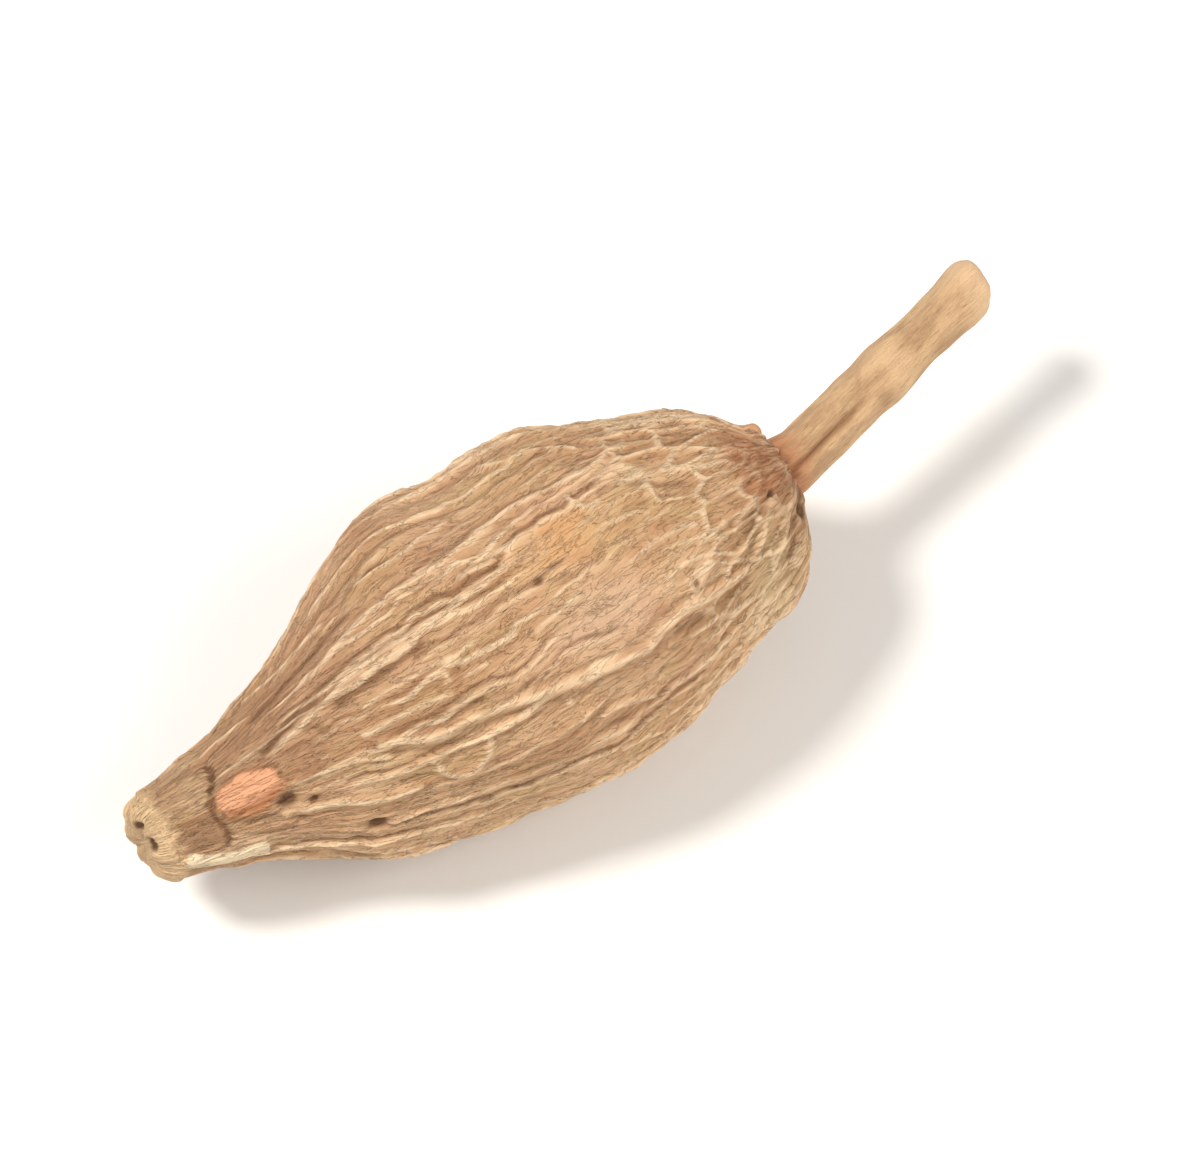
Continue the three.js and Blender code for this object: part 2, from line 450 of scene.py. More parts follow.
# One strand between each two main ridges nearly equals them in the middle. Three finer ones to each
# ridge run beside the others for part of the way.
halfway = [place + 0.5 for place in range(RIDGES)]
thirds = [place / 3 for place in range(3 * RIDGES)]
strands = long_strands(
    halfway, 0.12, (0.08, 0.38), (0.62, 0.93), 0, (0.14, 0.3), (0.075, 0.1), 0.5, (0.02, 0.08)
)
strands += long_strands(
    thirds, 0.2, (0.05, 0.7), (0.12, 0.4), 1, (0.06, 0.18), (0.055, 0.08), 1.2, (0.03, 0.12)
)
strands += tying_strands(130)
print("strands besides the main ridges:", len(strands))

# %% [markdown]
# ## The relief of the skin
#
# Each kind of strand has a function that gives its height, and the shares of its crest and its
# grooves. The main ridges stand at the whole columns, as on the solid, with a groove on each side,
# deeper on one. Near the stalk the strands part and meet again, so the skin there is a net, which
# we take from the borders of Voronoi cells.

# %% Ridges, fine strands and the net
RIDGE_HEIGHT = 0.33
RIDGE_SHARE_OF_RADIUS = 0.12
GROOVE_DEPTH = 0.16
GROOVE_PLACE = 0.2
GROOVE_WIDTH = 0.075
CLOSENESS = 0.45  # how much closer the mesh is cut on a crest than between two


def off_line(column, line):
    """How many columns a corner is off a line, the shorter way round."""
    return (column - line + RIDGES / 2) % RIDGES - RIDGES / 2


def main_ridges(column, along, radius, uneven):
    """The long ridges: height in mm, and how strongly each corner is on a crest or in a groove."""
    nearest = np.round(column)
    ridge = np.mod(nearest, RIDGES)
    own = 0.65 + 0.6 * scatter(ridge, 1)
    swell = 1 + 0.35 * wave(1.7 * along + scatter(ridge, 2))
    beak = 0.25 + 0.75 * ramp(along, 0.05, 0.16)
    short = ramp(along, 0.1, 0.3) * (1 - ramp(along, 0.82, 0.95))
    strength = own * swell * beak * np.where(ridge % 2 == 1, short, 1) * (1 + 0.9 * uneven)
    wobble = 0.04 * wave(2.6 * along + scatter(ridge, 3)) + 0.035 * wave(8.3 * along + scatter(ridge, 4))
    aside = column - nearest - wobble * np.sin(math.pi * along)
    depth = 0.55 + 0.45 * wave(1.3 * along + scatter(ridge, 5))
    other_depth = 0.45 + 0.4 * wave(1.9 * along + scatter(ridge, 6))
    crest = peak(aside, 0.115) * strength
    groove = bell(aside + GROOVE_PLACE, GROOVE_WIDTH) * depth
    groove += 0.6 * bell(aside - GROOVE_PLACE, GROOVE_WIDTH) * other_depth
    groove = groove * np.clip(strength, 0, 1.1)
    slender = np.minimum(1, RIDGE_SHARE_OF_RADIUS * radius / RIDGE_HEIGHT)
    height = slender * (RIDGE_HEIGHT * crest - GROOVE_DEPTH * groove)
    return height, bell(aside, 0.085) * strength, groove


def fine_strands(column, along, radius):
    """The finer strands: height in mm, and shares of the crests and grooves."""
    height = np.zeros_like(column)
    crest = np.zeros_like(column)
    groove = np.zeros_like(column)
    for one in strands:
        run = along - (one["start"] + one["end"]) / 2
        line = one["column"] + one["lean"] * run + one["sway"] * wave(one["waves"] * along + one["phase"])
        aside = off_line(column, line)
        width = one["width"]
        fade = ramp(along, one["start"], one["start"] + 0.03)
        fade = fade * (1 - ramp(along, one["end"] - 0.03, one["end"]))
        near = fade * one["height"]
        height = np.maximum(height, near * peak(aside, width))
        crest = np.maximum(crest, near * bell(aside, 0.9 * width))
        groove = np.maximum(groove, near * bell(aside + 1.8 * width, 0.95 * width))
    slender = np.minimum(1, radius / 6)
    return slender * (height - 0.6 * groove), crest / 0.22, groove / 0.24


def shoulder_net(growth, along):
    """The net of strands near the stalk: shares of its strands and of the hollows beside them."""
    borders = cell_borders(growth * (0.33, 0.58, 0.58), 7)
    near_stalk = 0.12 + 0.88 * ramp(along, 0.66, 0.84)
    return bell(borders, 0.12) * near_stalk, bell(borders - 0.3, 0.13) * near_stalk


# %% [markdown]
# ## The ridges and furrows seen on this one pod
#
# The side that we look at has lines of its own, by which a viewer knows the pod. Each clear ridge
# and furrow is noted as a few places, by the share of the length and the angle round the pod, and a
# soft curve runs through them. On the back the strands above do all the work.

# %% Lines of this pod
SEEN_RIDGES = [  # height and half-width in mm, then places as (thousandths of the length, degrees)
    (0.24, 0.2, (205, 31), (240, 45), (276, 51), (307, 53), (340, 58)),
    (0.3, 0.24, (270, 78), (336, 75), (391, 75), (461, 77), (512, 78), (584, 73), (670, 75)),
    (0.22, 0.22, (388, 58), (415, 61), (447, 65), (493, 64), (549, 61)),
    (0.3, 0.22, (175, 99), (224, 96), (275, 94), (320, 91), (384, 92), (451, 94), (587, 92)),
    (0.4, 0.26, (297, 123), (324, 126), (367, 132), (440, 131), (508, 135), (561, 137)),
    (0.42, 0.26, (530, 136), (600, 138), (667, 140), (703, 135), (749, 137), (786, 140), (861, 142)),
    (0.26, 0.24, (183, 144), (220, 146), (246, 149), (271, 154), (341, 153)),
    (0.24, 0.2, (356, 141), (358, 147), (368, 152), (388, 154), (408, 152), (424, 146), (431, 138)),
    (0.26, 0.22, (287, 117), (326, 117), (365, 118), (416, 120)),
    (0.18, 0.16, (300, 106), (350, 106), (399, 107), (440, 108)),
    (0.2, 0.2, (225, 126), (261, 126), (310, 131)),
    (0.24, 0.2, (491, 86), (529, 87), (573, 86), (620, 87)),
    (0.26, 0.2, (807, 87), (834, 90), (869, 94), (899, 94), (915, 99)),
    (0.26, 0.2, (670, 76), (704, 76), (739, 75), (770, 71), (803, 66)),
    (0.24, 0.2, (600, 20), (630, 21), (670, 24)),
    (0.24, 0.2, (624, 39), (663, 52), (705, 54), (741, 65)),
    (0.2, 0.18, (688, 113), (729, 111), (775, 111), (815, 113)),
    (0.22, 0.18, (723, 124), (764, 122), (806, 126), (842, 133)),
    (0.2, 0.18, (794, 120), (818, 121), (853, 118)),
    (0.22, 0.22, (788, 177), (737, 177), (696, 187), (650, 190)),
    (0.2, 0.2, (572, 155), (595, 155), (626, 156), (657, 161)),
    (0.2, 0.18, (715, 81), (748, 81), (776, 80)),
    (0.28, 0.2, (674, 80), (678, 86), (690, 90), (715, 89)),
    (0.2, 0.2, (677, 99), (705, 98), (753, 99)),
    (0.18, 0.2, (537, 116), (572, 114), (616, 112)),
    (0.22, 0.2, (409, 116), (420, 110), (449, 108), (475, 108)),
    (0.18, 0.18, (431, 116), (460, 117), (480, 117)),
    (0.18, 0.22, (589, 176), (625, 177), (665, 186)),
    (0.24, 0.17, (725, 147), (760, 149), (780, 148)),
    (0.24, 0.17, (765, 163), (800, 162), (837, 162), (860, 161)),
    (0.22, 0.17, (810, 172), (850, 172), (890, 166)),
    (0.26, 0.18, (940, 107), (930, 112), (907, 119), (872, 121), (855, 126)),
    (0.26, 0.18, (950, 124), (923, 127), (907, 133), (865, 141)),
    (0.26, 0.18, (984, 130), (951, 139), (912, 149), (880, 154)),
    (0.26, 0.2, (990, 150), (965, 158), (930, 170)),
    (0.22, 0.2, (660, 30), (723, 40), (780, 49), (834, 51), (894, 50)),
    (0.24, 0.22, (150, 181), (200, 186), (260, 196), (330, 200), (400, 203)),
    (0.22, 0.24, (534, 143), (544, 143)),
    (0.22, 0.22, (347, 141), (355, 141)),
    (0.22, 0.22, (545, 152), (560, 150)),
]
SEEN_FURROWS = [  # depth and half-width in mm, then places
    (0.34, 0.19, (175, 93), (199, 91), (227, 88), (272, 88)),
    (0.34, 0.19, (280, 98), (309, 97), (342, 98), (424, 98)),
    (0.3, 0.19, (185, 65), (247, 63), (311, 64), (370, 66)),
    (0.28, 0.18, (350, 54), (370, 55), (400, 58), (442, 61)),
    (0.3, 0.18, (326, 123), (356, 126), (405, 126), (453, 127)),
    (0.24, 0.16, (490, 74), (515, 73), (551, 72)),
    (0.22, 0.18, (233, 97), (252, 101), (257, 111)),
    (0.2, 0.15, (204, 140), (221, 141), (245, 142)),
    (0.2, 0.16, (306, 147), (336, 147), (350, 147)),
    (0.24, 0.18, (708, 87), (738, 85), (779, 89), (807, 94), (839, 96)),
    (0.3, 0.22, (705, 141), (730, 143), (762, 145)),
    (0.26, 0.18, (777, 154), (808, 154), (831, 152)),
    (0.18, 0.2, (681, 102), (661, 106), (628, 107), (578, 103)),
    (0.34, 0.2, (912, 122), (890, 129), (868, 134)),
    (0.3, 0.2, (958, 143), (935, 157), (915, 163)),
    (0.22, 0.16, (683, 45), (703, 52), (724, 56)),
    (0.26, 0.2, (102, 129), (131, 140), (163, 142)),
]
FLANK_PLACE = 2.2  # how many half-widths off the crest the skin is folded in
CRACK = [(123, 64), (105, 90), (86, 116), (89, 133), (96, 141), (91, 160)]
LEDGE = [(30, 160), (60, 169), (100, 175), (140, 174)]


def curve_through(places):
    """The places with their corners cut off twice, so that the line through them bends softly."""
    places = [(thousandths / 1000, degrees) for thousandths, degrees in places]
    for _ in range(2):
        cut = [places[0]]
        for (share_a, turn_a), (share_b, turn_b) in zip(places, places[1:]):
            cut.append((0.75 * share_a + 0.25 * share_b, 0.75 * turn_a + 0.25 * turn_b))
            cut.append((0.25 * share_a + 0.75 * share_b, 0.25 * turn_a + 0.75 * turn_b))
        cut.append(places[-1])
        places = cut
    return places


def beside_curve(distance, angle, radius, places):
    """How far each corner is from the curve in mm, and a share that fades at the curve's ends."""
    away = np.full_like(distance, HUSK_LENGTH)
    run = np.zeros_like(distance)
    curve = curve_through(places)
    for step, ((share_a, turn_a), (share_b, turn_b)) in enumerate(zip(curve, curve[1:])):
        from_x = share_a * HUSK_LENGTH - distance
        from_y = -turn_from(angle, turn_a) * radius
        step_x = (share_b - share_a) * HUSK_LENGTH
        step_y = math.radians(turn_b - turn_a) * radius
        reach = step_x**2 + step_y**2 + 1e-9
        part = np.clip(-(from_x * step_x + from_y * step_y) / reach, 0, 1)
        here = np.hypot(from_x + part * step_x, from_y + part * step_y)
        run = np.where(here < away, (step + part) / (len(curve) - 1), run)
        away = np.minimum(away, here)
    return away, ramp(np.minimum(run, 1 - run), -0.05, 0.15)


def seen_ridges(distance, angle, radius):
    """The ridges seen on this pod: height in mm, and shares of their crests and shaded flanks."""
    height = np.zeros_like(distance)
    crest = np.zeros_like(distance)
    flank = np.zeros_like(distance)
    for tall, half_width, *places in SEEN_RIDGES:
        away, fade = beside_curve(distance, angle, radius, places)
        height = np.maximum(height, fade * tall * peak(away, 1.2 * half_width))
        crest = np.maximum(crest, fade * bell(away, 0.9 * half_width) * min(1, 0.5 + tall))
        # The flank sinks the skin and is later painted dark, as painted shade beside the ridge.
        flank = np.maximum(flank, fade * bell(away - FLANK_PLACE * half_width, half_width) * 2.2 * tall)
    return height, crest, flank * (1 - crest)


def seen_furrows(distance, angle, radius):
    """The furrows seen on this pod: depth in mm, and how strongly each corner is in one."""
    depth = np.zeros_like(distance)
    furrow = np.zeros_like(distance)
    for deep, half_width, *places in SEEN_FURROWS:
        away, fade = beside_curve(distance, angle, radius, places)
        depth = np.maximum(depth, deep * fade * bell(away, 1.45 * half_width))
        furrow = np.maximum(furrow, fade * bell(away, 1.65 * half_width) * min(1, 3 * deep))
    return depth, furrow


print("ridges and furrows seen on this pod:", len(SEEN_RIDGES), "and", len(SEEN_FURROWS))

# %% [markdown]
# ## The marks of this one pod
#
# A crack round the beak leaves a collar, a flake has come off beside it, and small pits lie along
# the side. Each mark has a share of the length, an angle round the pod and a size in millimetres, so
# it can be measured on the real thing and placed here.

# %% Marks
PITS = [  # share of the length, angle in degrees, radius and depth in mm
    (0.179, 134, 0.55, 0.5),
    (0.205, 140, 0.3, 0.32),
    (0.184, 152, 0.3, 0.2),
    (0.266, 170, 0.42, 0.36),
    (0.240, 181, 0.5, 0.2),
    (0.434, 88, 0.3, 0.24),
    (0.528, 102, 0.26, 0.16),
    (0.579, 102, 0.34, 0.26),
    (0.528, 130, 0.28, 0.22),
    (0.435, 113, 0.26, 0.2),
    (0.767, 132, 0.26, 0.24),
    (0.720, 120, 0.24, 0.16),
    (0.938, 121, 0.26, 0.28),
    (0.975, 151, 0.32, 0.32),
    (0.969, 80, 0.3, 0.2),
    (0.918, 65, 0.34, 0.2),
    (0.899, 113, 0.26, 0.18),
    (0.300, 300, 0.3, 0.25),
    (0.550, 250, 0.25, 0.2),
    (0.720, 10, 0.25, 0.2),
    (0.480, 190, 0.28, 0.22),
]
END_PITS = [(1.72, 76, 0.48, 0.45), (1.8, 124, 0.42, 0.55)]  # radius out, angle, size, depth
PATCHES = {  # share of the length, degrees, half-length and half-width in mm, where the fade starts
    "lilac": (0.63, 122, 4.2, 2.6, 0.3),
    "orange": (0.62, 93, 4.6, 2.4, 0.3),
    "panel": (0.51, 164, 2.4, 1.6, 0.3),
    "straw": (0.9, 168, 4.5, 5.0, 0.25),
    # a darker brown on the beak's upper side, partly its own tone and partly painted shade
    "brown_and_shade": (0.2, 68, 5.2, 3.2, 0.3),
    "ruddy": (0.222, 113, 1.5, 1.3, 0.6),
    "stain": (0.945, 102, 2.4, 3.8, 0.35),
}
SCAR = (0.143, 116, 1.85, 1.15)  # share of the length, degrees, half-length and half-width in mm
FACET = (0.054, 136, 1.45, 1.1, 4)  # the same, and how square it is
SEEN_SIDE = 116  # degrees round the pod of the side that we look at
CRACK_DEPTH = 0.32
CRACK_WIDTH = 0.16
LEDGE_HEIGHT = 0.3
LEDGE_WIDTH = 0.45


def spot(here, share, degrees, long, wide, squareness=2):
    """How far a corner is from a mark's middle, where 1 is the mark's edge."""
    distance, radius, angle = here
    turn = turn_from(angle, degrees)
    lengthwise = np.abs(distance - share * HUSK_LENGTH) / long
    crosswise = np.abs(turn) * radius / wide
    return (lengthwise**squareness + crosswise**squareness) ** (1 / squareness)


def patch(here, share, degrees, long, wide, edge):
    """1 inside an oval patch, fading to 0 over its edge."""
    return 1 - ramp(spot(here, share, degrees, long, wide), edge, 1)


def collar(along, angle, ragged):
    """1 on the beak's collar, which ends at the crack."""
    line = 0.11 - 0.022 * bell(turn_from(angle, 126), math.radians(40)) + 0.008 * ragged
    return ramp((along - line) * HUSK_LENGTH, 0.3, -0.2)


# %% [markdown]
# ## Sculpting the husk
#
# Now the skin is moved along the direction that it faces, so that the ridges also wrap over the
# shoulder and into the fold. What we know about each corner is painted on it for the finish.

# %% Sculpt and paint the husk
BEAK_SHRINK = 0.09  # how much the beak's end has shrunk, as a share of its radius
END_FACE_RADIUS = 1.7  # inside it the grain no longer runs with the ridges
NET_HEIGHT = 0.24
HOLLOW_DEPTH = 0.07
KNOB_HEIGHT = 0.46  # of the knobs round the beak's mouth


def sculpt_husk(piece):
    # Where each corner is, in the skin's own terms.
    distance, radius, angle = corners_of(piece)
    lengthwise, outwards = facing(piece, angle)
    along = np.clip(distance / HUSK_LENGTH, 0, 1)
    even = np.mod(angle, TURN) / TURN * RIDGES
    column = even - CLOSENESS * np.sin(TURN * even) / TURN
    angle = TURN * column / RIDGES
    around = angle + stray(angle, along)
    fatness = ramp(radius, 0.5, 3)
    slender = np.minimum(1, radius / 6)
    in_fold = ramp(along, 0.97, 1) * (1 - ramp(radius, 1.5, 2.4))
    in_mouth = 1 - ramp(distance, 0.1, 1.4)
    seen = ramp(np.abs(turn_from(around, SEEN_SIDE)), 1.6, 1.1) * ramp(along, 0.13, 0.2)
    here = (distance, radius, around)
    on = {name: patch(here, *numbers) for name, numbers in PATCHES.items()}

    # Noises that follow the growth, from broad lumps to fine creases.
    growth = np.stack([distance, 9 * np.cos(angle), 9 * np.sin(angle)], 1)
    broad = noise_at(growth * (0.22, 0.3, 0.3), 1)
    ragged = noise_at(growth * (0.9, 0.9, 0.9), 4)
    kinks = noise_at(growth * (0.9, 0.4, 0.4), 9)
    meander = noise_at(growth * (0.3, 0.3, 0.3), 10)
    uneven = noise_at(growth * (0.3, 0.55, 0.55), 11)
    knobs = noise_at(growth * (0.9, 0.28, 0.28), 8)
    threads = sharp(creased(growth * (0.3, 1.0, 1.0), 3))
    folds = sharp(creased(growth * (0.34, 1.15, 1.15), 12))
    crumple = creased(growth * (1.3, 0.9, 0.9), 2)

    # The skin's height: ridges and strands, then the lines seen on this pod, then net and creases.
    kinked = column + 0.13 * kinks + 0.3 * meander * np.sin(math.pi * along)
    ridge, crest, groove = main_ridges(kinked, along, radius, uneven)
    fine, fine_crest, fine_groove = fine_strands(kinked, along, radius)
    smoother = 1 - np.maximum(0.45 * on["lilac"], 0.8 * on["panel"])
    ridge = ridge * (1 - 0.45 * seen) * smoother
    fine = fine * (1 - 0.4 * seen) * smoother
    raised = np.maximum(ridge, fine + 0.1 * ridge)
    raised = np.where(ridge < 0, ridge + fine, raised)
    bent = distance + 0.12 * ragged + 0.1 * kinks
    turned = around + (0.09 * ragged + 0.08 * kinks) / np.maximum(radius, 1)
    own_height, own_crest, own_flank = seen_ridges(bent, turned, radius)
    own_depth, own_furrow = seen_furrows(bent, turned, radius)
    own_share = np.minimum(1, 0.4 + radius / 9)
    raised = np.maximum(raised, own_share * (1.15 * own_height + 0.25 * ridge))
    raised -= own_share * (0.62 * own_depth + 0.11 * own_flank * (0.6 + 0.8 * uneven))
    net, hollow = shoulder_net(growth, along)
    skin = np.maximum(raised, 0.35 * raised + NET_HEIGHT * net * slender)
    skin += 0.1 * fatness * broad - HOLLOW_DEPTH * hollow * slender
    calm = (1 - 0.65 * np.maximum(on["lilac"], on["panel"])) * (1 - 0.3 * seen)
    skin += calm * slender * (0.07 * threads - 0.08 * folds + 0.04 * crumple)

    # The marks: collar, crack and ledge, then scar and facet, then pits.
    off_crack, crack_fade = beside_curve(bent, turned, radius, CRACK)
    crack = crack_fade * bell(off_crack, CRACK_WIDTH)
    off_ledge, ledge_fade = beside_curve(bent, turned, radius, LEDGE)
    ledge = ledge_fade**2 * bell(off_ledge + 0.15 * ragged, LEDGE_WIDTH)
    on_collar = collar(along, around, ragged)
    skin += 0.1 * on_collar - CRACK_DEPTH * crack + LEDGE_HEIGHT * ledge

    scar = spot(here, *SCAR) + 0.25 * ragged
    in_scar = 1 - ramp(scar, 0.8, 1.0)
    scar_swell = 0.16 * (1 - np.clip(scar, 0, 1) ** 2) - 0.16 * in_scar
    skin = skin * (1 - 0.9 * in_scar) + scar_swell + 0.1 * bell(scar - 1.1, 0.12)
    scar_low = in_scar * ramp(turn_from(around, SCAR[1]) * radius + 0.3 * ragged, 0.1, 0.6)
    facet = spot(here, *FACET) + 0.12 * ragged
    in_facet = 1 - ramp(facet, 0.82, 1.0)
    skin = skin * (1 - 0.85 * in_facet) - 0.1 * in_facet

    pitted = np.zeros_like(along)
    for share, degrees, size, depth in PITS:
        away = spot(here, share, degrees, 1.4 * size, 1.25 * size) + 0.5 * kinks
        skin += 0.25 * depth * bell(away - 1.2, 0.4) - 0.75 * depth * bell(away, 0.8)
        pitted = np.maximum(pitted, min(1, 3 * depth) * bell(away, 0.85))

    # The beak's end face is knobbed at its rim and rounded inwards, with two pits of its own.
    skin += KNOB_HEIGHT * in_mouth * knobs * np.minimum(1, radius)
    push = np.minimum(1, radius / 0.6) * skin * (1 - in_fold)
    rounding = 0.6 * in_mouth * np.minimum(1.2, radius / 2.3) ** 3 - 0.2 * in_mouth
    for out, degrees, size, depth in END_PITS:
        y = radius * np.cos(around) - out * math.cos(math.radians(degrees))
        z = radius * np.sin(around) - out * math.sin(math.radians(degrees))
        hole = bell(np.hypot(y, z) + 0.2 * kinks, size) * (1 - ramp(distance, 0.3, 1.2))
        rounding += depth * hole
        pitted = np.maximum(pitted, 2.2 * depth * hole)

    new_distance = distance + push * lengthwise + rounding
    new_radius = radius + push * outwards + swelling(around, along, radius)
    new_radius -= BEAK_SHRINK * radius * (1 - ramp(distance, 1.5, 4.5))
    set_skin(piece, new_distance, new_radius, around, fatness)

    # What the finish needs to know about each corner.
    paint_flow(piece, distance, column, GREATEST_RADIUS * np.minimum(1, radius / END_FACE_RADIUS))
    bare = 1 - np.maximum(in_scar, in_facet)
    crests = highest([crest, 0.8 * fine_crest, 0.6 * calm * threads])
    crests = highest([crests * (1 - 0.35 * seen), 0.85 * net, own_crest])
    # Grooves, flanks, hollows and the crack are painted dark: dirt in them, and painted shade.
    grooves = highest([groove, 0.9 * fine_groove, 0.62 * calm * folds]) * (1 - 0.25 * seen)
    own_grooves = np.maximum(0.85 * own_furrow, 0.6 * own_flank)
    grooves = highest([grooves, own_grooves, 0.5 * hollow * (0.6 + uneven)])
    # Painted shade: darker towards the beak on the pod's upper side.
    shade_towards_beak = 0.7 * ramp(along, 0.75, 0.25) * ramp(turn_from(around, 120), 0.3, -0.4)
    browns_and_shade = [on["brown_and_shade"], on["ruddy"], 0.45 * on["panel"], shade_towards_beak * (1 - on_collar)]
    near_foot = ramp(along + 0.02 * ragged, 0.89, 0.95)
    rim = ramp(distance + 0.3 * ragged, HUSK_LENGTH - 1.1, HUSK_LENGTH - 0.2)
    paint(piece, {
        "crest": bare * np.clip(crests, 0, 1),
        "furrow": np.clip(bare * grooves + 1.3 * crack, 0, 1),
        # painted shade in the pits and in the fold round the stalk's foot
        "pit_and_fold_shade": np.maximum(pitted, in_fold),
        "scar": in_scar,
        "scar_low": scar_low,
        "scar_edge": np.maximum(bell(scar - 1.0, 0.1), 0.8 * bell(facet - 1.0, 0.1)),
        "facet": in_facet,
        "beak": on_collar,
        "beak_end": 1 - ramp(distance + 0.4 * ragged, 0.9, 1.8),
        "ledge": ledge,
        "straw": on["straw"],
        "orange": on["orange"],
        "lilac": on["lilac"],
        "brown_and_shade": np.maximum.reduce(browns_and_shade),
        "shoulder": highest([0.3 * near_foot, on["stain"], 0.7 * rim]),
    })
    print("husk sculpted:", len(along), "corners, skin from %.2f to %.2f mm" % (skin.min(), skin.max()))


sculpt_husk(husk)

# %% [markdown]
# ## Sculpting the stalk
#
# The stalk is a tough dry stem. It has a few low ribs, fine lengthwise grain, a slight knee where
# a bract once sat, a groove on its lower side and a swollen end where it came off the plant.

# %% The stalk
STALK_RIBS = 5
RIB_SHARE = 0.05  # of the radius
FLUTE_LENGTH = 2.5  # how far the foot's flutes run up the stalk
FLUTE_HEIGHT = 0.1
STALK_FACE_RADIUS = 1.2  # inside it the grain no longer runs with the ribs
STALK_GROOVE_DEPTH = 0.32
STALK_GROOVE_WIDTH = 0.28
STALK_GROOVE_DEGREES = 126
KNEE = 0.52  # share of the stalk's length
DENT = 0.42


def sculpt_stalk(piece):
    distance, radius, angle = corners_of(piece)
    beyond = np.maximum(0, distance - HUSK_LENGTH)
    share = beyond / STALK_LENGTH
    column = np.mod(angle, TURN) / TURN * RIDGES
    foot = 1 - ramp(beyond, 0, FLUTE_LENGTH)

    flow = np.stack([distance, 1.3 * np.cos(angle), 1.3 * np.sin(angle)], 1)
    grain = noise_at(flow * (0.6, 5, 5), 5)
    lumps = noise_at(flow * (0.5, 0.7, 0.7), 6)
    groove = bell(turn_from(angle, STALK_GROOVE_DEGREES) * radius, STALK_GROOVE_WIDTH)
    groove = groove * ramp(share, 0.45, 0.28)
    knee = bell(share - KNEE + 0.03 * np.cos(angle), 0.055)
    dent = bell(share - DENT + 0.03 * np.cos(angle), 0.035) * bell(turn_from(angle, 160), 0.9)
    skin = RIB_SHARE * radius * np.cos(STALK_RIBS * angle) * (1 - foot)
    skin += FLUTE_HEIGHT * np.cos(RIDGES / 2 * angle) * foot
    skin += 0.07 * grain + 0.1 * lumps - STALK_GROOVE_DEPTH * groove + 0.09 * knee - 0.08 * dent

    new_radius = radius + np.minimum(1, radius / 0.6) * skin
    set_skin(piece, distance, new_radius, angle, ramp(radius, 0.5, 3))
    paint_flow(piece, distance, column, STALK_RADIUS * np.minimum(1, radius / STALK_FACE_RADIUS))
    paint(piece, {
        # The groove and the dent are painted dark as painted shade; the dark grain lines are the stalk's
        # own.
        "furrow": np.clip(groove + np.clip(-grain, 0, 1) * 0.5 + 0.45 * dent, 0, 1),
        "foot": foot,
        "pale": np.maximum(ramp(share + 0.03 * lumps, 0.84, 0.97), 0.4 * knee),
    })
    print("stalk sculpted:", len(share), "corners")


sculpt_stalk(stalk)

# %% [markdown]
# ## Laying the pieces on the measured pod
#
# Both pieces were drawn with the beak's end at zero. One shift, worked out from the pod's own box,
# brings them to the place of the solid. The meshes move, not the objects.

# %% Place, shading and names
def extent(pieces):
    places = np.array([corner.co for piece in pieces for corner in piece.data.vertices])
    return Vector(places.min(0)), Vector(places.max(0))


drawn_low, drawn_high = extent([husk, stalk])
to_frame = (low + high) / 2 - (drawn_low + drawn_high) / 2
to_frame.z = 0
for piece in (husk, stalk):
    for corner in piece.data.vertices:
        corner.co += to_frame
    piece.data.update()
    for face in piece.data.polygons:
        face.use_smooth = True
    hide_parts("pod")
    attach(piece, "root")
drawn_low, drawn_high = extent([husk, stalk])
print("visible pod, mm:", [round(side / MM, 2) for side in drawn_high - drawn_low])

# %% [markdown]
# ## The husk's finish
#
# Dry husk is matt and papery. Its ridges rub clean and are pale cream; its furrows are dark brown,
# from the dirt that they hold and from painted shade. Between them lie tan panels, with a fibrous
# grain that runs with the ridges. Their places are painted on the mesh, so the material only gives
# each its colour, its gloss and its finest relief.

# %% Small helpers for materials
def new_material(name):
    material = bpy.data.materials.new(name)
    material.use_nodes = True
    return material, material.node_tree, material.node_tree.nodes["Principled BSDF"]


def added(kind, inputs, **settings):
    """Add a node beside those that feed it. Each input is given a socket, a number or numbers."""
    sockets = {name: value for name, value in inputs.items() if isinstance(value, bpy.types.NodeSocket)}
    tree = next(iter(sockets.values())).id_data
    node = tree.nodes.new(kind)
    for name, value in settings.items():
        setattr(node, name, value)
    for name, value in inputs.items():
        if name in sockets:
            tree.links.new(value, node.inputs[name])
        else:
            node.inputs[name].default_value = value
    return node


def painted(tree, name, output="Fac"):
    node = tree.nodes.new("ShaderNodeAttribute")
    node.attribute_name = name
    return node.outputs[output]


def stretched_noise(place, stretch, detail=4, roughness=0.6, distortion=0.0):
    """Noise whose features are 1 / stretch long in each direction, in the place's unit."""
    mapping = added("ShaderNodeMapping", {"Vector": place, "Scale": stretch})
    inputs = {"Vector": mapping.outputs["Vector"], "Scale": 1, "Detail": detail}
    inputs.update({"Roughness": roughness, "Distortion": distortion})
    return added("ShaderNodeTexNoise", inputs).outputs["Fac"]


def ranged(value, start, end, low=0.0, high=1.0):
    """The value moved from one range to another, and held inside it."""
    inputs = {"Value": value, "From Min": start, "From Max": end, "To Min": low, "To Max": high}
    return added("ShaderNodeMapRange", inputs, interpolation_type="SMOOTHSTEP").outputs["Result"]


def combined(operation, a, b):
    """A sum, product or other combination of two sockets or numbers."""
    return added("ShaderNodeMath", {0: a, 1: b}, operation=operation).outputs[0]


def coat(under, colour, share):
    """Lay a colour over another where the share is 1."""
    inputs = {"Factor": share, 6: under, 7: (*colour, 1)}
    return added("ShaderNodeMix", inputs, data_type="RGBA").outputs[2]


